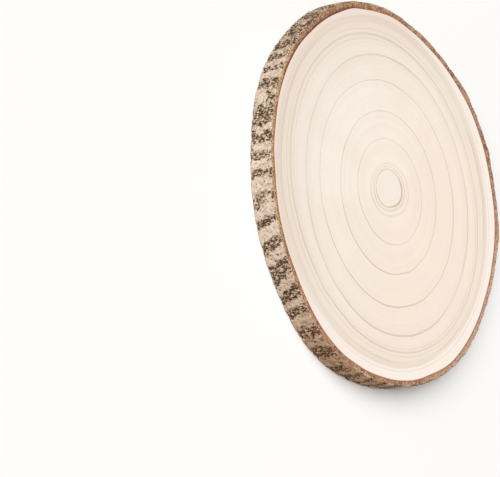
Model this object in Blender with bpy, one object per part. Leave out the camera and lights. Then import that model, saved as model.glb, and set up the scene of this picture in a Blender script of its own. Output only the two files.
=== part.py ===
"""A slice sawn across a tree trunk, with its bark still on, lying on one sawn face.

Lengths are in metres. The trunk's axis is +Z and the slice rests on z = 0, with its origin at
the centre of its bounding box, on the underside. Wood and bark grew as one piece, so the slice
is one closed solid: two flat sawn faces of wood, each framed by a slightly lower rim of bark,
and a bark side whose flat plates are parted by fissures that run along the trunk.
"""

import math

import bmesh
import bpy
from mathutils import Vector, noise

# Driving dimensions
MEAN_DIAMETER = 0.240  # over the bark's plates
THICKNESS = 0.016  # between the two sawn faces
BARK_THICKNESS = 0.0046
FACE_STEP = 0.0003  # how far the sanded wood stands proud of the softer bark
EDGE_ROUND = 0.0010  # radius of the worn edge between the rim and the side
FISSURE_DEPTH = 0.0009
PLATES = 52  # bark plates round the trunk, and as many fissures
MEAN_RADIUS = MEAN_DIAMETER / 2

# Bulges of the trunk: how many there are all round, their height, and the direction of one.
GROWTH_WAVES = (
    (2, 0.00035, math.radians(19)),
    (3, 0.00136, math.radians(-34)),
    (4, 0.00038, math.radians(26)),
    (5, 0.00052, math.radians(23)),
    (7, 0.00039, math.radians(15)),
    (9, 0.00026, math.radians(-9)),
)

# Where the bark alone bulges or sinks: its direction and half width in degrees, and its height.
BULGES = (
    (72, 4, 0.0013),
    (98, 4, 0.0013),
    (118, 5, 0.0009),
    (152, 4, -0.0008),
    (191, 13, 0.0013),
)

# How finely the bark is faceted
COLUMNS = PLATES * 4
SIDE_ROWS = 5
EDGE_ROWS = 2

# The fissures wander, and some are shallow: noise cells per metre across and along the trunk.
NOISE_ACROSS = 24.0
NOISE_ALONG = 14.0
WANDER = 1.1  # how far a fissure strays, in plates
LEAN = 0.12  # how far a fissure winds round the trunk, for its length along it
FISSURE_FROM = -0.10  # a wave of plates and fissures falls below this level in a fissure
FISSURE_FULL = -0.95

BARK_COLOUR = (0.42, 0.31, 0.22, 1.0)
WOOD_COLOUR = (0.86, 0.74, 0.60, 1.0)


def smoothstep(low, high, value):
    """0 at low, 1 at high, and level at both ends."""
    share = min(max((value - low) / (high - low), 0.0), 1.0)
    return share * share * (3.0 - 2.0 * share)


def trunk_radius(angle):
    """Distance from the trunk's middle to its skin, but for the bark's own bulges."""
    waves = (height * math.cos(count * (angle - towards)) for count, height, towards in GROWTH_WAVES)
    return MEAN_RADIUS + sum(waves)


def bark_radius(angle):
    """Distance from the trunk's middle to the top of the bark's plates, bulges and all."""
    radius = trunk_radius(angle)
    for towards, width, height in BULGES:
        off = (math.degrees(angle) - towards + 180.0) % 360.0 - 180.0
        radius += height * math.exp(-((off / width) ** 2))
    return radius


def fissure(angle, z):
    """0 on a bark plate, up to 1 in the middle of a deep fissure."""
    angle -= LEAN * (THICKNESS - z) / MEAN_RADIUS
    across = MEAN_RADIUS * NOISE_ACROSS
    place = Vector((math.cos(angle) * across, math.sin(angle) * across, z * NOISE_ALONG))
    phase = PLATES * angle + 2.0 * math.pi * WANDER * noise.noise(place)
    strength = 0.65 + 0.9 * noise.noise(place * 1.7 + Vector((7.0, 3.0, 5.0)))
    return smoothstep(FISSURE_FROM, FISSURE_FULL, math.cos(phase)) * min(max(strength, 0.15), 1.0)


def outer_point(angle, z, inset):
    """A point on the bark's outside at height z, inset by the rounding of the edge."""
    radius = bark_radius(angle) - inset - FISSURE_DEPTH * fissure(angle, z)
    return Vector((radius * math.cos(angle), radius * math.sin(angle), z))


def wood_point(angle, z):
    """A point on the line where the wood meets the bark."""
    radius = trunk_radius(angle) - BARK_THICKNESS
    return Vector((radius * math.cos(angle), radius * math.sin(angle), z))


def side_profile():
    """(z, inset) down the bark's side: a rounded edge, the plain side and a rounded edge."""
    top = THICKNESS - FACE_STEP
    bottom = FACE_STEP
    turns = [0.5 * math.pi * step / EDGE_ROWS for step in range(EDGE_ROWS + 1)]
    rounding = [(EDGE_ROUND * (1 - math.sin(turn)), EDGE_ROUND * (1 - math.cos(turn))) for turn in turns]
    height = top - bottom - 2 * EDGE_ROUND
    plain = [(top - EDGE_ROUND - height * row / SIDE_ROWS, 0.0) for row in range(1, SIDE_ROWS)]
    upper = [(top - drop, inset) for inset, drop in rounding]
    lower = [(bottom + drop, inset) for inset, drop in reversed(rounding)]
    return upper + plain + lower


def slice_loops():
    """The closed loops of points that the slice is lofted through, from its top face to its base."""
    angles = [2.0 * math.pi * column / COLUMNS for column in range(COLUMNS)]
    loops = [[wood_point(angle, THICKNESS) for angle in angles]]
    loops.append([wood_point(angle, THICKNESS - FACE_STEP) for angle in angles])
    for z, inset in side_profile():
        loops.append([outer_point(angle, z, inset) for angle in angles])
    loops.append([wood_point(angle, FACE_STEP) for angle in angles])
    loops.append([wood_point(angle, 0.0) for angle in angles])
    return loops


def centred(loops):
    """The loops moved so that the middle of their box lies on the Z axis."""
    points = [point for loop in loops for point in loop]
    middle = Vector((0.0, 0.0, 0.0))
    for axis in (0, 1):
        middle[axis] = (min(p[axis] for p in points) + max(p[axis] for p in points)) / 2
    return [[point - middle for point in loop] for loop in loops]


def add_band(mesh, upper, lower):
    """Joins two loops of vertices with a band of quads that faces outwards."""
    for column, (first, below) in enumerate(zip(upper, lower)):
        after = (column + 1) % COLUMNS
        mesh.faces.new((first, below, lower[after], upper[after]))


def add_sawn_face(mesh, loop):
    """Closes a loop of vertices with a flat fan of wood that meets at the middle."""
    middle = mesh.verts.new((0.0, 0.0, loop[0].co.z))
    for first, second in zip(loop, loop[1:] + loop[:1]):
        face = mesh.faces.new((middle, first, second))
        face.material_index = 1


def plain_material(name, colour, roughness):
    material = bpy.data.materials.new(name)
    material.use_nodes = True
    shader = material.node_tree.nodes["Principled BSDF"]
    shader.inputs["Base Color"].default_value = colour
    shader.inputs["Roughness"].default_value = roughness
    shader.inputs["Metallic"].default_value = 0.0
    return material


def build_wood_slice():
    mesh = bmesh.new()
    loops = [[mesh.verts.new(point) for point in points] for points in centred(slice_loops())]
    for upper, lower in zip(loops, loops[1:]):
        add_band(mesh, upper, lower)
    add_sawn_face(mesh, loops[0])
    add_sawn_face(mesh, loops[-1][::-1])

    data = bpy.data.meshes.new("wood_slice")
    mesh.to_mesh(data)
    mesh.free()
    data.materials.append(plain_material("bark", BARK_COLOUR, 0.9))
    data.materials.append(plain_material("sawn_wood", WOOD_COLOUR, 0.6))
    data.shade_smooth()
    data.set_sharp_from_angle(angle=math.radians(35))
    wood_slice = bpy.data.objects.new("wood_slice", data)
    bpy.context.scene.collection.objects.link(wood_slice)
    return wood_slice


for leftover in list(bpy.data.objects):
    bpy.data.objects.remove(leftover)
build_wood_slice()
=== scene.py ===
"""A slice of tree trunk with its bark on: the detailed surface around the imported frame.

Two pieces stand for the CAD's one solid: the pale sawn wood, with its growth rings, and the ring
of bark round it. Both are built column by column round the trunk's middle. Lengths are in metres,
except growth, the trunk's mean radius at some time in its life, which is in millimetres.
"""

import math

import bpy
import numpy as np
from mathutils import Matrix, Vector, noise


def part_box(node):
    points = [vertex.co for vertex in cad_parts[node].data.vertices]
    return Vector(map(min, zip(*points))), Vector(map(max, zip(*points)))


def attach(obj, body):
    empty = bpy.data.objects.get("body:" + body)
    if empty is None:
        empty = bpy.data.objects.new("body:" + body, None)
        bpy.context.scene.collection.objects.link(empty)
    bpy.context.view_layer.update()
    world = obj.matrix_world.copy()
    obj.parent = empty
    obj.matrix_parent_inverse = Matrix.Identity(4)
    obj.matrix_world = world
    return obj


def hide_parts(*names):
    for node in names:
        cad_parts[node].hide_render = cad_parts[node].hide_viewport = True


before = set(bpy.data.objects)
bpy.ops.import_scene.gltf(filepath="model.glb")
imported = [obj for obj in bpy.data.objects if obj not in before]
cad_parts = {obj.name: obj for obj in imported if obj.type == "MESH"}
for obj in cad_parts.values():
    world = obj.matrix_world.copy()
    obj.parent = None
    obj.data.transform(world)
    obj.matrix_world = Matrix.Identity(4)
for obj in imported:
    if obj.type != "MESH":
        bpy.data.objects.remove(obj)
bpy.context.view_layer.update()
cad_low, cad_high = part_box("wood_slice")

MM = 0.001
FULL_TURN = 2.0 * math.pi

# ---- the trunk's outside, as in the CAD --------------------------------------------------

THICKNESS = cad_high.z - cad_low.z
MEAN_RADIUS = 120 * MM
PLATES = 52  # bark plates round the trunk, and as many fissures
LEAN = 0.12  # how far a fissure winds round the trunk, for its length along it
NOISE_ACROSS = 24.0  # the scale of the noise that leads the fissures astray
NOISE_ALONG = 14.0
WANDER = 1.1  # how far a fissure strays, in plates
# The waves of the trunk's outline: how many round the trunk, their height, and where one crests.
GROWTH_WAVES = (
    (2, 0.35 * MM, math.radians(19)),
    (3, 1.36 * MM, math.radians(-34)),
    (4, 0.38 * MM, math.radians(26)),
    (5, 0.52 * MM, math.radians(23)),
    (7, 0.39 * MM, math.radians(15)),
    (9, 0.26 * MM, math.radians(-9)),
)

# Where the bark alone bulges or sinks: direction and half width in degrees, then height in mm.
BULGES = ((72, 4, 1.3), (98, 4, 1.3), (118, 5, 0.9), (152, 4, -0.8), (191, 13, 1.3))


def smoothstep(low, high, value):
    """0 at low, 1 at high, and level at both ends."""
    share = min(max((value - low) / (high - low), 0.0), 1.0)
    return share * share * (3.0 - 2.0 * share)


def trunk_radius(angle):
    """Distance from the trunk's middle to its skin, but for the bark's own bulges."""
    return MEAN_RADIUS + sum(h * math.cos(k * (angle - a)) for k, h, a in GROWTH_WAVES)


def bulge(angle, bulges):
    """The height of the given bulges together, in that direction and in their own unit."""
    total = 0.0
    for towards, width, height in bulges:
        off = (math.degrees(angle) - towards + 180.0) % 360.0 - 180.0
        total += height * math.exp(-((off / width) ** 2))
    return total


def bark_radius(angle):
    """Distance from the trunk's middle to the top of the bark's plates, bulges and all."""
    return trunk_radius(angle) + bulge(angle, BULGES) * MM


def trunk_middle():
    """Where the trunk's middle stands in the frame, whose origin is the middle of the box."""
    angles = [FULL_TURN * step / 720 for step in range(720)]
    xs = [bark_radius(a) * math.cos(a) for a in angles]
    ys = [bark_radius(a) * math.sin(a) for a in angles]
    return Vector((-(min(xs) + max(xs)) / 2, -(min(ys) + max(ys)) / 2, 0.0))


MIDDLE = trunk_middle()


def around(angle, cells_per_metre):
    """A place on the trunk's girth for 3D noise, so that the noise has no seam."""
    reach = MEAN_RADIUS * cells_per_metre
    return Vector((math.cos(angle) * reach, math.sin(angle) * reach, 0.0))


# ---- where wood meets bark ---------------------------------------------------------------

FACE_STEP = 0.12 * MM  # how far the sanded wood stands proud of the bark's rim
BARK_THICKNESS = 4.4 * MM
BARK_THICKER = 0.55 * MM  # the bark is thickest in one direction, by this much
BARK_THICK_SIDE = math.radians(138)
BARK_UNEVEN = 0.55 * MM  # and its thickness wanders by this much
# Where the wood's edge alone bulges or sinks under the bark, in the form of BULGES.
WOOD_BULGES = (
    (61, 5, -0.6),
    (132, 8, 0.7),
    (162, 5, 0.8),
    (182, 5, 0.7),
    (249, 8, 0.9),
    (310, 22, -0.35),
    (350, 11, 0.6),
)


def wood_radius(angle):
    """Distance from the trunk's middle to the line where wood meets bark."""
    thickness = BARK_THICKNESS + BARK_THICKER * math.cos(angle - BARK_THICK_SIDE)
    thickness += BARK_UNEVEN * noise.noise(around(angle, 45.0))
    return trunk_radius(angle) + bulge(angle, WOOD_BULGES) * MM - thickness


# ---- meshes ------------------------------------------------------------------------------


def make_mesh(name, points, faces, attributes, corner_uvs):
    """A smooth mesh piece with float attributes on its points and its own map for baking."""
    mesh = bpy.data.meshes.new(name)
    mesh.from_pydata(points.tolist(), [], faces)
    for label, values in attributes.items():
        layer = mesh.attributes.new(label, "FLOAT", "POINT")
        layer.data.foreach_set("value", np.asarray(values, dtype=np.float32))
    layer = mesh.uv_layers.new(name="OFBake")
    layer.uv.foreach_set("vector", np.asarray(corner_uvs, dtype=np.float32).ravel())
    mesh.shade_smooth()
    piece = bpy.data.objects.new(name, mesh)
    bpy.context.scene.collection.objects.link(piece)
    return piece


# ---- the wood ----------------------------------------------------------------------------

WOOD_COLUMNS = 256  # round the trunk
TOP_ROWS = 210  # from the pith to the edge of the upper face
UNDER_ROWS = 90
FULL_GROWTH = (MEAN_RADIUS - BARK_THICKNESS) / MM  # the growth at the wood's edge
PITH = Vector((-4.0 * MM, -0.5 * MM))
RING_WANDER = 0.45 * MM  # how far a ring strays from its plain shape
FACE_WAVE = 0.03 * MM  # how far the sanding left the faces uneven

# The wood's map for baking holds a large disc for the upper face, a small one for the lower face
# and a strip for the edge between them.
TOP_DISC = (0.385, 0.370)  # its middle, the same both ways, and its radius
UNDER_DISC = (0.795, 0.195)
EDGE_STRIP = (0.80, 0.02, 0.17, 0.16)  # left, low, width, height

# Growth rings that show: mean radius, its middle's x and y, how oval it is and which way, and
# the line's width, all in mm and degrees, then how dark it is.
RINGS = (
    (12.6, -3.8, -0.4, 0.7, 90, 1.0, 1.00),
    (15.0, -3.4, -0.2, 1.1, 90, 0.9, 0.80),
    (18.1, -2.5, 0.2, 1.7, 90, 0.8, 0.60),
    (33.4, -1.3, 0.3, 0.1, 90, 0.8, 0.75),
    (50.8, -0.9, -0.6, 0.8, -31, 0.9, 0.80),
    (70.6, -0.7, -1.3, 0.6, -4, 0.9, 0.80),
    (86.6, 0.5, -0.1, 1.7, -11, 1.1, 0.70),
    (98.2, -0.9, -1.7, 2.4, 22, 0.9, 0.60),
    (110.0, -2.5, -2.8, 0.0, 0, 0.8, 0.30),
)
PALE_FROM = 110.0  # the last ring: outside it the wood is young and pale


def ring_radius(ring, angle):
    """How far a ring is from the trunk's middle, in that direction."""
    mean, x, y, oval, towards = ring[:5]
    shift = x * math.cos(angle) + y * math.sin(angle)
    return (mean + shift + oval * math.cos(2.0 * (angle - math.radians(towards)))) * MM


def ring_point(growth, angle):
    """The point that the trunk's growth reached in that direction, for growth in mm."""
    inner, inner_radius = 0.0, 0.0
    outer, outer_radius = FULL_GROWTH, wood_radius(angle)
    for ring in RINGS:
        if ring[0] <= growth:
            inner, inner_radius = ring[0], ring_radius(ring, angle)
        else:
            outer, outer_radius = ring[0], ring_radius(ring, angle)
            break
    share = (growth - inner) / (outer - inner)
    radius = inner_radius + (outer_radius - inner_radius) * share
    place = around(angle, 35.0)
    place.z = growth * 0.05
    free = smoothstep(8.0, 45.0, growth) * (1.0 - smoothstep(108.0, 114.0, growth))
    radius += RING_WANDER * noise.noise(place) * free
    near_pith = PITH * max(1.0 - growth / RINGS[0][0], 0.0)
    return radius * math.cos(angle) + near_pith.x, radius * math.sin(angle) + near_pith.y


def wood_relief(growth, x, y):
    """How far the sawn face lies below its plane: a faint sanding wave, none at the edge."""
    wave = noise.noise(Vector((x * 35.0, y * 35.0, 3.0)))
    return FACE_WAVE * (wave - 1.0) * smoothstep(FULL_GROWTH, PALE_FROM, growth)


def make_wood():
    """The two sawn faces and the edge between them, from the upper pith to the lower one."""
    points, growths, under = [], [], []

    def add_row(growth, z, side):
        for column in range(WOOD_COLUMNS):
            x, y = ring_point(growth, FULL_TURN * column / WOOD_COLUMNS)
            height = z + side * wood_relief(growth, x, y)
            points.append((x + MIDDLE.x, y + MIDDLE.y, height))
            growths.append(growth)
            under.append(0.0 if side > 0 else 1.0)

    for row in range(TOP_ROWS):
        add_row(FULL_GROWTH * (row + 1) / TOP_ROWS, THICKNESS, 1.0)
    for row in range(UNDER_ROWS):
        add_row(FULL_GROWTH * (1.0 - row / UNDER_ROWS), 0.0, -1.0)
    rows = TOP_ROWS + UNDER_ROWS
    for z, side in ((THICKNESS, 1.0), (0.0, -1.0)):
        points.append((PITH.x + MIDDLE.x, PITH.y + MIDDLE.y, z))
        growths.append(0.0)
        under.append(0.0 if side > 0 else 1.0)
    top_pith, under_pith = rows * WOOD_COLUMNS, rows * WOOD_COLUMNS + 1

    faces = []
    uvs = []

    def flat_uv(index):
        """A point's place on its face's disc."""
        x, y, _ = points[index]
        middle, radius = UNDER_DISC if under[index] else TOP_DISC
        return middle + x / MEAN_RADIUS * radius, middle + y / MEAN_RADIUS * radius

    strip_left, strip_low, strip_width, strip_height = EDGE_STRIP
    for row in range(rows - 1):
        for column in range(WOOD_COLUMNS):
            after = (column + 1) % WOOD_COLUMNS
            a = row * WOOD_COLUMNS + column
            b = row * WOOD_COLUMNS + after
            faces.append((a + WOOD_COLUMNS, b + WOOD_COLUMNS, b, a))
            if row == TOP_ROWS - 1:
                low, high = column / WOOD_COLUMNS, (column + 1) / WOOD_COLUMNS
                uvs += [
                    (strip_left + strip_width * u, strip_low + strip_height * v)
                    for u, v in ((1.0, low), (1.0, high), (0.0, high), (0.0, low))
                ]
            else:
                uvs += [flat_uv(i) for i in faces[-1]]
    for column in range(WOOD_COLUMNS):
        after = (column + 1) % WOOD_COLUMNS
        last = (rows - 1) * WOOD_COLUMNS
        for face in ((top_pith, column, after), (under_pith, last + after, last + column)):
            faces.append(face)
            uvs += [flat_uv(i) for i in face]
    return make_mesh(
        "sawn_wood", np.array(points), faces, {"growth": growths, "under": under}, uvs
    )


# ---- the bark ----------------------------------------------------------------------------

BARK_COLUMNS = 1692  # round the trunk; a multiple of MAP_STRIPS
SIDE_ROWS = 32
RIM_ROWS = 11
UNDER_RIM_ROWS = 7
EDGE_ROWS = 4
BARK_TOP = THICKNESS - FACE_STEP  # the planes of the bark's two sawn rims
BARK_BOTTOM = FACE_STEP
BARK_TUCK = 0.3 * MM  # how far the bark's mesh reaches in under the wood's edge
EDGE_ROUND = 1.0 * MM  # the worn edge between a rim and the side
RIM_ROUGH = 0.10 * MM  # how far the sawn rim is broken up
# Where fissured stretches crowd together: direction and half width in degrees, then how much.
CROWDED = ((211, 13, 0.9), (330, 20, 0.4))

# On the bark's map for baking the girth is folded into strips.
MAP_STRIPS = 6
MAP_MARGIN = 0.006  # at the strips' ends
STRIP_MARGIN = 0.03  # between the strips, as a share of one
CLOSING_STEP = 1.0 * MM  # what the map allows for the hidden inner wall


def fissure_wave(angle, z):
    """(wave, strength) of the fissures: wave is 1 on a plate and -1 in a fissure."""
    angle -= LEAN * (THICKNESS - z) / MEAN_RADIUS
    place = around(angle, NOISE_ACROSS)
    place.z = z * NOISE_ALONG
    phase = PLATES * angle + FULL_TURN * WANDER * noise.noise(place)
    return math.cos(phase), noise.noise(place * 1.7 + Vector((7.0, 3.0, 5.0)))


def bark_surface(angle, z):
    """(zone, pit, depth) of the bark at a place on its side.

    zone is 0 on a smooth plate and 1 in a fissured stretch, pit is 1 in a crack, and depth is
    in metres below the plates.
    """
    wave, strength = fissure_wave(angle, z)
    place = around(angle, 1.0 / MM)
    place.z = z / MM
    tall = Vector((place.x, place.y, place.z * 0.75))
    ragged = 1.3 * noise.noise(tall * 0.25) + 0.7 * noise.noise(tall * 0.75)
    crowded = 0.10 + bulge(angle, CROWDED)
    zone = smoothstep(-0.35, 0.65, ragged - wave + 1.5 * strength + crowded)
    blobs = noise.noise(tall * 0.55) + 0.6 * noise.noise(tall * 1.15 + Vector((3.0, 9.0, 4.0)))
    pit = smoothstep(0.12, 0.42, blobs - 0.65 * (1.0 - zone) + 0.12 * zone)
    seam = abs(noise.noise(Vector((place.x, place.y, place.z * 0.5)) * 0.10))
    seam += 0.06 * abs(noise.noise(tall * 0.8))
    cracked = noise.noise(place * 0.05 + Vector((5.0, 1.0, 8.0))) + 0.25 * zone
    pit = max(pit, smoothstep(0.060, 0.0, seam) * smoothstep(0.12, 0.30, cracked))
    knob = noise.noise(tall * 0.9 + Vector((11.0, 5.0, 2.0)))
    depth = zone * (0.30 + 0.20 * knob) + pit * (0.35 + 0.15 * zone) + 0.04 * knob
    return zone, pit, max(depth, 0.0) * MM


def bark_rim(angle, inner, outer, upper):
    """One sawn rim and its worn edge, from the wood outwards, and how far down the edge is worn.

    Each point is (radius, z, zone, pit, across, rim): across is 0 at the bark's inner wall and 1
    at its skin, and rim is 1 on the sawn rim and 0 on the side.
    """
    if upper:
        end, rows, z_face, way = 0, RIM_ROWS, BARK_TOP, -1.0
    else:
        end, rows, z_face, way = 1, UNDER_RIM_ROWS, BARK_BOTTOM, 1.0
    wear = noise.noise(around(angle, 160.0) + Vector((0.0, 0.0, 4.0 * end)))
    worn = EDGE_ROUND * (1.0 + 0.45 * wear)
    zone, pit, depth = bark_surface(angle, z_face + way * worn)
    rim_end = outer - depth - worn
    thickness = outer - inner
    points = []
    for row in range(rows + 1):
        share = row / rows
        radius = inner + (rim_end - inner) * share
        dip = noise.noise(Vector((math.cos(angle), math.sin(angle), end)) * radius * 900.0)
        z = z_face + way * RIM_ROUGH * (dip + 0.6) * min(share * 3.0, 1.0)
        points.append((radius, z, zone, pit, (radius - inner) / thickness, 1.0))
    for row in range(1, EDGE_ROWS):
        turn = 0.5 * math.pi * row / EDGE_ROWS
        radius = rim_end + worn * math.sin(turn)
        z = z_face + way * worn * (1.0 - math.cos(turn))
        points.append((radius, z, zone, pit, (radius - inner) / thickness, 1.0 - math.sin(turn)))
    return points, worn


def bark_loop(angle):
    """The bark's outline in one direction: upper rim, side, and lower rim back to the wood."""
    inner, outer = wood_radius(angle) - BARK_TUCK, bark_radius(angle)
    upper, worn_top = bark_rim(angle, inner, outer, True)
    lower, worn_bottom = bark_rim(angle, inner, outer, False)
    z_top, z_bottom = BARK_TOP - worn_top, BARK_BOTTOM + worn_bottom
    side = []
    for row in range(SIDE_ROWS + 1):
        z = z_top + (z_bottom - z_top) * (row / SIDE_ROWS)
        zone, pit, depth = bark_surface(angle, z)
        side.append((outer - depth, z, zone, pit, 1.0, 0.0))
    return upper + side + lower[::-1]


def loop_steps(loop):
    """How far along the outline each point lies, from 0 to 1 where the outline closes."""
    steps = [0.0]
    for (r0, z0, *_), (r1, z1, *_) in zip(loop, loop[1:]):
        steps.append(steps[-1] + math.hypot(r1 - r0, z1 - z0))
    steps.append(steps[-1] + CLOSING_STEP)
    return [step / steps[-1] for step in steps]


def make_bark():
    """The ring of bark: one outline for each column, joined round the trunk."""
    points = []
    values = {"zone": [], "pit": [], "across": [], "rim": []}
    for column in range(BARK_COLUMNS):
        angle = FULL_TURN * column / BARK_COLUMNS
        loop = bark_loop(angle)
        for radius, z, *looks in loop:
            x, y = radius * math.cos(angle), radius * math.sin(angle)
            points.append((x + MIDDLE.x, y + MIDDLE.y, z))
            for key, value in zip(values, looks):
                values[key].append(value)

    rows = len(loop)
    steps = loop_steps(loop)
    strip_columns = BARK_COLUMNS // MAP_STRIPS
    faces, uvs = [], []
    for column in range(BARK_COLUMNS):
        strip, place = divmod(column, strip_columns)
        here, after = column * rows, (column + 1) % BARK_COLUMNS * rows
        left, right = (
            MAP_MARGIN + (1.0 - 2.0 * MAP_MARGIN) * (place + end) / strip_columns for end in (0, 1)
        )
        for row in range(rows):
            below = (row + 1) % rows
            faces.append((here + row, here + below, after + below, after + row))
            v0, v1 = (
                (strip + STRIP_MARGIN + (1.0 - 2.0 * STRIP_MARGIN) * steps[i]) / MAP_STRIPS
                for i in (row, row + 1)
            )
            uvs += [(left, v0), (left, v1), (right, v1), (right, v0)]
    return make_mesh("bark", np.array(points), faces, values, uvs)


# ---- materials ---------------------------------------------------------------------------


def srgb(red, green, blue):
    """A colour given as the eye sees it, 0 to 255, in the linear numbers that shaders use."""
    shares = [part / 255 for part in (red, green, blue)]
    linear = [s / 12.92 if s < 0.04045 else ((s + 0.055) / 1.055) ** 2.4 for s in shares]
    return (*linear, 1.0)


class Graph:
    """Adds nodes to one material. An input given as a socket is linked; anything else is set."""

    def __init__(self, name):
        self.material = bpy.data.materials.new(name)
        self.material.use_nodes = True
        self.tree = self.material.node_tree
        self.shader = self.tree.nodes["Principled BSDF"]
        self.place = self.node("ShaderNodeTexCoord", {}, "Object")

    def connect(self, socket, value):
        if isinstance(value, bpy.types.NodeSocket):
            self.tree.links.new(value, socket)
        else:
            socket.default_value = value

    def node(self, kind, inputs, output=0, **settings):
        """A new node with those inputs and settings, as the one output asked for."""
        made = self.tree.nodes.new(kind)
        for key, value in settings.items():
            setattr(made, key, value)
        for key, value in inputs.items():
            self.connect(made.inputs[key], value)
        return made.outputs[output]

    def math(self, operation, a, b=0.0, c=0.0):
        inputs = {0: a, 1: b, 2: c} if operation == "MULTIPLY_ADD" else {0: a, 1: b}
        return self.node("ShaderNodeMath", inputs, operation=operation)

    def times(self, a, b):
        return self.math("MULTIPLY", a, b)

    def vector(self, operation, a, b=(0.0, 0.0, 0.0), output=0):
        return self.node("ShaderNodeVectorMath", {0: a, 1: b}, output, operation=operation)

    def towards(self, degrees, reach):
        """How far a point lies in that direction from the origin: 1 at the reach given."""
        angle = math.radians(degrees)
        way = (math.cos(angle) / reach, math.sin(angle) / reach, 0.0)
        return self.vector("DOT_PRODUCT", self.place, way, 1)

    def span(self, value, low, high, at_low=0.0, at_high=1.0, smooth=True):
        """value from low to high, turned into at_low to at_high."""
        inputs = {0: value, 1: low, 2: high, 3: at_low, 4: at_high}
        kind = "SMOOTHSTEP" if smooth else "LINEAR"
        return self.node("ShaderNodeMapRange", inputs, interpolation_type=kind)

    def mix(self, share, a, b, blend="MIX"):
        inputs = {0: share, 6: a, 7: b}
        return self.node("ShaderNodeMix", inputs, 2, data_type="RGBA", blend_type=blend)

    def noise(self, place, scale, detail=2.0, rough=0.5):
        inputs = {"Vector": place, "Scale": scale, "Detail": detail, "Roughness": rough}
        return self.node("ShaderNodeTexNoise", inputs)

    def line_noise(self, value, scale):
        """Noise that changes only with value, such as along the growth of a trunk."""
        inputs = {"W": value, "Scale": scale, "Detail": 1.0, "Roughness": 0.5}
        return self.node("ShaderNodeTexNoise", inputs, noise_dimensions="1D")

    def dots(self, place, scale):
        """0 in the middle of each of many scattered dots, and more away from it."""
        inputs = {"Vector": place, "Scale": scale}
        return self.node("ShaderNodeTexVoronoi", inputs, "Distance", feature="F1")

    def attribute(self, name):
        return self.node("ShaderNodeAttribute", {}, "Fac", attribute_name=name)

    def bump(self, height, distance, strength):
        inputs = {"Height": height, "Distance": distance, "Strength": strength}
        return self.node("ShaderNodeBump", inputs)

    def finish(self, colour, roughness, normal, specular):
        """Joins everything to the shader, and gives the material."""
        inputs = {"Base Color": colour, "Roughness": roughness, "Normal": normal}
        inputs["Specular IOR Level"] = specular
        for key, value in inputs.items():
            self.connect(self.shader.inputs[key], value)
        return self.material


# Directions in degrees in which the wood's look changes.
CRESCENT_WAY = 57.3
COOL_WAY = 220.1


def ring_lines(g, ring_place):
    """1 on the plain growth rings, each soft on its inner side and crisp on its outer one."""
    lines = 0.0
    for at, *_, width, dark in RINGS:
        inside = g.span(ring_place, at - 1.1 * width, at)
        outside = g.span(ring_place, at, at + 0.6 * width, 1.0, 0.0)
        lines = g.math("MULTIPLY_ADD", g.times(inside, outside), dark, lines)
    return g.times(lines, g.span(g.noise(g.place, 20.0), 0.34, 0.66, 0.55, 1.05))


def fine_lines(g, growth, ring_place, outward):
    """1 on the fine lines between the rings, closer and plainer towards the bark."""
    swing = g.line_noise(ring_place, 0.70)
    fine = g.span(g.math("ABSOLUTE", g.math("SUBTRACT", swing, 0.5)), 0.0, 0.09, 1.0, 0.0)
    level = g.node("ShaderNodeCombineXYZ", {"Z": g.times(growth, 0.22)})
    stretch = g.vector("ADD", g.vector("MULTIPLY", outward, (1.3, 1.3, 0.0)), level)
    fine = g.times(fine, g.span(g.noise(stretch, 1.0, 1.0), 0.34, 0.54, 0.35, 1.0))
    fine = g.times(fine, g.span(growth, 92.0, 100.0, 0.10, 1.0))
    return g.times(fine, g.span(growth, 107.5, PALE_FROM, 1.0, 0.45))


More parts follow.
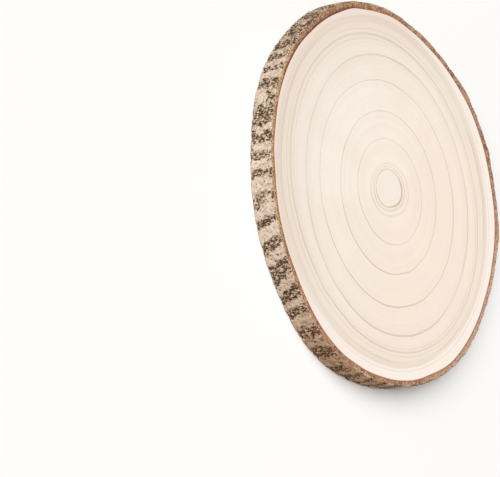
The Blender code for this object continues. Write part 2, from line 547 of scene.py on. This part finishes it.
def wood_material():
    g = Graph("sawn_wood")
    place = g.place
    growth = g.attribute("growth")
    under = g.attribute("under")
    flat_place = g.vector("MULTIPLY", place, (1.0, 1.0, 0.0))
    outward = g.vector("NORMALIZE", flat_place)
    ring_place = g.math("ADD", growth, g.math("MULTIPLY_ADD", g.noise(place, 120.0), 0.8, -0.4))
    rings = ring_lines(g, ring_place)
    fine = fine_lines(g, growth, ring_place, outward)

    # the first ring is thick and brownish on one side
    crescent_side = g.span(g.towards(CRESCENT_WAY, 12.0 * MM), -0.2, 0.8)
    crescent = g.times(g.span(ring_place, 11.2, 12.5), g.span(ring_place, 12.7, 13.9, 1.0, 0.0))
    crescent = g.times(crescent, crescent_side)

    # the plain wood: one side is cooler, and there are soft blotches
    cool = g.span(g.towards(COOL_WAY, MEAN_RADIUS), -0.55, 0.65)
    colour = g.mix(cool, srgb(246, 230, 215), srgb(245, 235, 225))
    blotch = g.span(g.noise(place, 26.0, 3.0, 0.55), 0.40, 0.62, 0.0, 0.45)
    colour = g.mix(blotch, colour, srgb(239, 226, 210))
    rosy = g.span(g.noise(place, 60.0), 0.5, 0.66, 0.0, 0.35)
    colour = g.mix(rosy, colour, srgb(243, 226, 216))

    # broad soft bands, the last and darkest just inside the pale young wood
    outer_wood = g.times(g.span(growth, 62.0, 92.0), g.span(cool, 0.2, 0.9, 0.35, 1.0))
    colour = g.mix(g.times(outer_wood, 0.75), colour, srgb(237, 225, 214))
    bands = g.span(g.line_noise(ring_place, 0.16), 0.35, 0.7)
    colour = g.mix(g.times(bands, 0.20), colour, srgb(230, 216, 201))
    late = g.times(g.span(growth, 95.0, 106.0), g.span(growth, 108.5, 111.0, 1.0, 0.0))
    colour = g.mix(g.times(late, 0.36), colour, srgb(232, 217, 199))
    young = g.mix(cool, srgb(249, 237, 227), srgb(243, 230, 220))
    pale = g.span(ring_place, PALE_FROM - 2.2, PALE_FROM + 0.8)
    colour = g.mix(g.times(pale, 0.85), colour, young)
    # painted shade: the wood greys towards its edge on the cool side
    shade = g.times(g.span(growth, 90.0, 106.0), g.span(cool, 0.6, 1.0, 0.0, 0.55))
    colour = g.mix(shade, colour, srgb(229, 213, 199))
    core = g.span(ring_place, 11.0, 13.0, 1.0, 0.0)
    colour = g.mix(g.times(core, 0.7), colour, srgb(242, 230, 221))

    # the lines, brownish here and there, and the wood's very edge, stained by the inner bark
    colour = g.mix(g.times(fine, 0.66), colour, srgb(204, 189, 168))
    colour = g.mix(g.times(rings, 0.95), colour, srgb(202, 187, 167))
    colour = g.mix(g.times(crescent, 0.60), colour, srgb(196, 168, 140))
    tint = g.times(g.span(g.noise(place, 11.0, 1.0), 0.5, 0.62), rings)
    colour = g.mix(g.times(tint, 0.30), colour, srgb(208, 162, 124))
    stain = g.span(growth, FULL_GROWTH - 0.5, FULL_GROWTH, 0.0, 0.70)
    colour = g.mix(stain, colour, srgb(204, 136, 98))

    # rays and pores of the end grain
    ray_place = g.vector("MULTIPLY", outward, (230.0, 230.0, 0.0))
    lift = g.node("ShaderNodeCombineXYZ", {"Z": g.times(growth, 0.09)})
    rays = g.noise(g.vector("ADD", ray_place, lift), 1.0, 2.0, 0.6)
    colour = g.mix(g.span(rays, 0.42, 0.62, 0.0, 0.12), colour, srgb(222, 200, 178))
    pores = g.dots(flat_place, 2600.0)
    colour = g.mix(g.span(pores, 0.05, 0.28, 0.14, 0.0), colour, srgb(190, 165, 140))

    # sanding marks on both faces, and saw marks on the lower one
    sanding = g.noise(g.vector("MULTIPLY", place, (1.0, 0.035, 1.0)), 2600.0, 2.0, 0.6)
    sawing = g.noise(g.vector("MULTIPLY", place, (0.04, 1.0, 1.0)), 420.0, 2.0, 0.6)
    height = g.math("MULTIPLY_ADD", sanding, 0.25, g.times(sawing, under))
    height = g.math("MULTIPLY_ADD", rings, -0.5, height)
    height = g.math("MULTIPLY_ADD", pores, 0.25, height)
    roughness = g.math("MULTIPLY_ADD", rays, 0.12, 0.60)
    return g.finish(colour, roughness, g.bump(height, 0.05 * MM, 0.6), specular=0.3)


# Directions in degrees in which the bark's look changes.
# the bark's side gets no painted shade towards the first of these, and the most either side of it
UNSHADED_WAY = 257.8
BROWN_WAY = 0.0
OCHRE_WAY = 250.1
FAIR_WAY = 40.1
DARK_WAY = 204.0


class BarkNoises:
    """The noises that the bark's side and its sawn rim share, from coarse to fine."""

    def __init__(self, g):
        tall = g.vector("MULTIPLY", g.place, (1.0, 1.0, 0.7))
        self.lichen = g.noise(g.place, 52.0, 2.0, 0.6)
        self.broad = g.noise(g.place, 70.0, 3.0, 0.6)
        self.medium = g.noise(g.place, 300.0, 3.0, 0.65)
        self.fine = g.noise(tall, 900.0, 2.0, 0.6)
        self.grain = g.noise(tall, 2200.0, 2.0, 0.65)


def plate_colour(g, noises):
    """The smooth plates, mottled grey-beige and rosy."""
    medium, fine = noises.medium, noises.fine
    plate = g.mix(g.span(noises.broad, 0.38, 0.62), srgb(200, 185, 165), srgb(202, 180, 165))
    plate = g.mix(g.span(medium, 0.48, 0.64, 0.0, 0.75), plate, srgb(176, 153, 134))
    plate = g.mix(g.span(medium, 0.46, 0.34, 0.0, 0.50), plate, srgb(220, 204, 187))
    plate = g.mix(g.span(fine, 0.50, 0.62, 0.0, 0.35), plate, srgb(168, 142, 122))
    plate = g.mix(g.span(fine, 0.47, 0.34, 0.0, 0.60), plate, srgb(224, 208, 192))
    return g.mix(g.span(noises.lichen, 0.56, 0.68, 0.0, 0.40), plate, srgb(184, 176, 148))


def fissure_colour(g, noises):
    """The fissured stretches between the plates: brown-grey with pale crumbs."""
    lichen = noises.lichen
    rough = g.mix(g.span(noises.medium, 0.40, 0.62), srgb(170, 150, 126), srgb(142, 118, 97))
    rough = g.mix(g.span(lichen, 0.52, 0.62, 0.0, 0.50), rough, srgb(154, 144, 112))
    rough = g.mix(g.span(lichen, 0.50, 0.40, 0.0, 0.45), rough, srgb(158, 128, 112))
    return g.mix(g.span(noises.fine, 0.46, 0.36, 0.0, 0.85), rough, srgb(216, 200, 180))


def side_colour(g, noises, zone, pit, specks):
    """The bark's outside."""
    side = g.mix(zone, plate_colour(g, noises), fissure_colour(g, noises))
    side = g.mix(g.span(specks, 0.630, 0.680, 0.0, 0.88), side, srgb(92, 60, 37))
    side = g.mix(g.span(specks, 0.680, 0.730, 0.0, 0.88), side, srgb(42, 25, 15))
    side = g.mix(g.span(pit, 0.40, 1.00, 0.0, 0.45), side, srgb(88, 62, 44))
    side = g.mix(g.span(noises.grain, 0.54, 0.36, 0.0, 0.25), side, srgb(120, 96, 76))

    # painted shade: the bark is darker away from its lit direction, most either side of it, and
    # the shade is browner and streaky towards BROWN_WAY
    toward_unshaded = g.towards(UNSHADED_WAY, MEAN_RADIUS)
    painted_shade = g.times(g.span(toward_unshaded, 0.5, 1.0, 1.0, 0.0), g.span(toward_unshaded, -0.4, 0.3, 0.3, 1.0))
    brown = g.span(g.towards(BROWN_WAY, MEAN_RADIUS), -0.3, 0.8)
    painted_shade_colour = g.mix(brown, srgb(232, 226, 210), srgb(232, 207, 184))
    side = g.mix(painted_shade, side, painted_shade_colour, "MULTIPLY")
    painted_shade_streaks = g.times(g.times(painted_shade, brown), g.span(noises.medium, 0.50, 0.60, 0.0, 0.65))
    return g.mix(painted_shade_streaks, side, srgb(104, 70, 48))


def rim_colour(g, noises, across, side):
    """The sawn rim: a dark line at the wood, reddish inner bark, and ochre under the skin."""
    medium, fine = noises.medium, noises.fine
    ragged = g.math("SUBTRACT", g.noise(g.place, 420.0, 3.0, 0.7), 0.5)
    level = g.math("MULTIPLY_ADD", ragged, 0.55, across)
    inner = g.mix(g.span(medium, 0.40, 0.60), srgb(136, 98, 72), srgb(188, 144, 114))
    rosy = g.span(g.noise(g.place, 95.0), 0.50, 0.62, 0.0, 0.4)
    inner = g.mix(rosy, inner, srgb(176, 118, 98))
    ochre = g.mix(g.span(medium, 0.40, 0.60), srgb(212, 172, 132), srgb(174, 132, 98))
    ochre_from = g.span(noises.broad, 0.35, 0.65, 0.45, 0.95, smooth=False)
    ochre_more = g.span(g.towards(OCHRE_WAY, MEAN_RADIUS), 0.6, 0.95, 0.08, -0.30)
    ochre_from = g.math("ADD", ochre_from, ochre_more)
    sawn = g.mix(g.span(g.math("SUBTRACT", level, ochre_from), -0.08, 0.10), inner, ochre)
    fair = g.span(g.towards(FAIR_WAY, MEAN_RADIUS), 0.65, 0.97, 0.0, 0.50)
    sawn = g.mix(fair, sawn, srgb(230, 186, 154))
    sawn = g.mix(g.span(fine, 0.52, 0.62, 0.0, 0.65), sawn, srgb(104, 74, 54))
    sawn = g.mix(g.span(fine, 0.46, 0.36, 0.0, 0.65), sawn, srgb(216, 182, 148))
    cambium = g.span(g.math("MULTIPLY_ADD", ragged, 0.15, across), 0.08, 0.26, 1.0, 0.0)
    sawn = g.mix(g.times(cambium, 0.80), sawn, srgb(144, 88, 60))
    dark = g.span(g.towards(DARK_WAY, MEAN_RADIUS), 0.82, 0.94, 0.0, 0.75)
    dark = g.times(dark, g.span(level, 0.12, 0.55, 1.0, 0.0))
    sawn = g.mix(dark, sawn, srgb(102, 60, 36))
    return g.mix(g.span(level, 0.74, 0.88, 0.0, 0.9), sawn, side)


def bark_material():
    g = Graph("bark")
    noises = BarkNoises(g)
    fine, grain = noises.fine, noises.grain
    zone, pit = g.attribute("zone"), g.attribute("pit")
    # dark specks, which crowd in the fissured stretches and in the cracks
    specks = g.math("MULTIPLY_ADD", zone, 0.125, fine)
    specks = g.math("MULTIPLY_ADD", pit, 0.075, specks)
    side = side_colour(g, noises, zone, pit, specks)
    sawn = rim_colour(g, noises, g.attribute("across"), side)
    colour = g.mix(g.span(g.attribute("rim"), 0.15, 0.75), side, sawn)

    roughness = g.math("MULTIPLY_ADD", grain, 0.15, 0.80)
    height = g.math("MULTIPLY_ADD", g.span(specks, 0.62, 0.74), -1.0, g.times(fine, 0.6))
    height = g.math("MULTIPLY_ADD", grain, 0.3, height)
    return g.finish(colour, roughness, g.bump(height, 0.30 * MM, 0.8), specular=0.25)


def floor_material():
    g = Graph("floor")
    cloudy = g.span(g.noise(g.place, 1.5), 0.3, 0.7)
    colour = g.mix(cloudy, srgb(244, 243, 241), srgb(247, 246, 245))
    normal = g.bump(g.noise(g.place, 900.0), 0.02 * MM, 0.3)
    return g.finish(colour, 0.8, normal, specular=0.2)


# ---- the object --------------------------------------------------------------------------

wood = make_wood()
wood.data.materials.append(wood_material())
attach(wood, "root")
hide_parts("wood_slice")

bark = make_bark()
bark.data.materials.append(bark_material())
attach(bark, "root")
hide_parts("wood_slice")

# ---- the studio --------------------------------------------------------------------------

FLOOR_CORNERS = ((-1, -1), (1, -1), (1, 1), (-1, 1))
FLOOR_REACH = 8.0
FLOOR_DROP = 0.05 * MM  # so that the floor and the lower face don't lie in one plane
CAMERA_FROM = (12.2 * MM, -1272.8 * MM, 882.0 * MM)  # from the middle of the upper sawn face
CAMERA_ELEVATION = math.radians(38.06)
CAMERA_ROLL = math.radians(80.07)  # the slice lies flat, but leans nearly upright in the photo
CAMERA_LENS = 180.0  # in mm, as the sensor's width is
CAMERA_SENSOR = 36.0
SUN_DIRECTION = Vector((0.34, 0.60, -0.74))
SUN_STRENGTH = 3.8
SUN_SOFTNESS = math.radians(60)
SKY_COLOUR = (1.0, 0.99, 0.98, 1.0)
SKY_STRENGTH = 0.20
BACKDROP = srgb(250, 249, 247)  # what the camera sees beyond the floor


def make_floor():
    mesh = bpy.data.meshes.new("floor")
    corners = [(x * FLOOR_REACH, y * FLOOR_REACH, 0.0) for x, y in FLOOR_CORNERS]
    mesh.from_pydata(corners, [], [(0, 1, 2, 3)])
    floor = bpy.data.objects.new("floor", mesh)
    bpy.context.scene.collection.objects.link(floor)
    mesh.materials.append(floor_material())
    floor.location.z = -FLOOR_DROP
    return floor


def make_camera():
    data = bpy.data.cameras.new("camera")
    data.lens = CAMERA_LENS
    data.sensor_width = CAMERA_SENSOR
    camera = bpy.data.objects.new("camera", data)
    bpy.context.scene.collection.objects.link(camera)
    turn = Matrix.Rotation(0.5 * math.pi - CAMERA_ELEVATION, 4, "X")
    roll = Matrix.Rotation(CAMERA_ROLL, 4, "Z")
    place = Vector(CAMERA_FROM) + MIDDLE + Vector((0.0, 0.0, THICKNESS))
    camera.matrix_world = Matrix.Translation(place) @ turn @ roll
    bpy.context.scene.camera = camera


def make_sun():
    data = bpy.data.lights.new("sun", "SUN")
    data.energy = SUN_STRENGTH
    data.angle = SUN_SOFTNESS
    sun = bpy.data.objects.new("sun", data)
    sun.rotation_mode = "QUATERNION"
    sun.rotation_quaternion = SUN_DIRECTION.to_track_quat("-Z", "Y")
    bpy.context.scene.collection.objects.link(sun)


def make_world():
    """A dim sky that lights the object, and a bright one that only the camera sees."""
    world = bpy.data.worlds.new("studio")
    bpy.context.scene.world = world
    world.use_nodes = True
    tree = world.node_tree
    sky = tree.nodes["Background"]
    sky.inputs["Color"].default_value = SKY_COLOUR
    sky.inputs["Strength"].default_value = SKY_STRENGTH
    seen = tree.nodes.new("ShaderNodeBackground")
    seen.inputs["Color"].default_value = BACKDROP
    seen.inputs["Strength"].default_value = 1.0
    path = tree.nodes.new("ShaderNodeLightPath")
    choose = tree.nodes.new("ShaderNodeMixShader")
    tree.links.new(path.outputs["Is Camera Ray"], choose.inputs[0])
    tree.links.new(sky.outputs[0], choose.inputs[1])
    tree.links.new(seen.outputs[0], choose.inputs[2])
    tree.links.new(choose.outputs[0], tree.nodes["World Output"].inputs["Surface"])


make_floor()
make_camera()
make_sun()
make_world()
bpy.context.scene.view_settings.view_transform = "Standard"
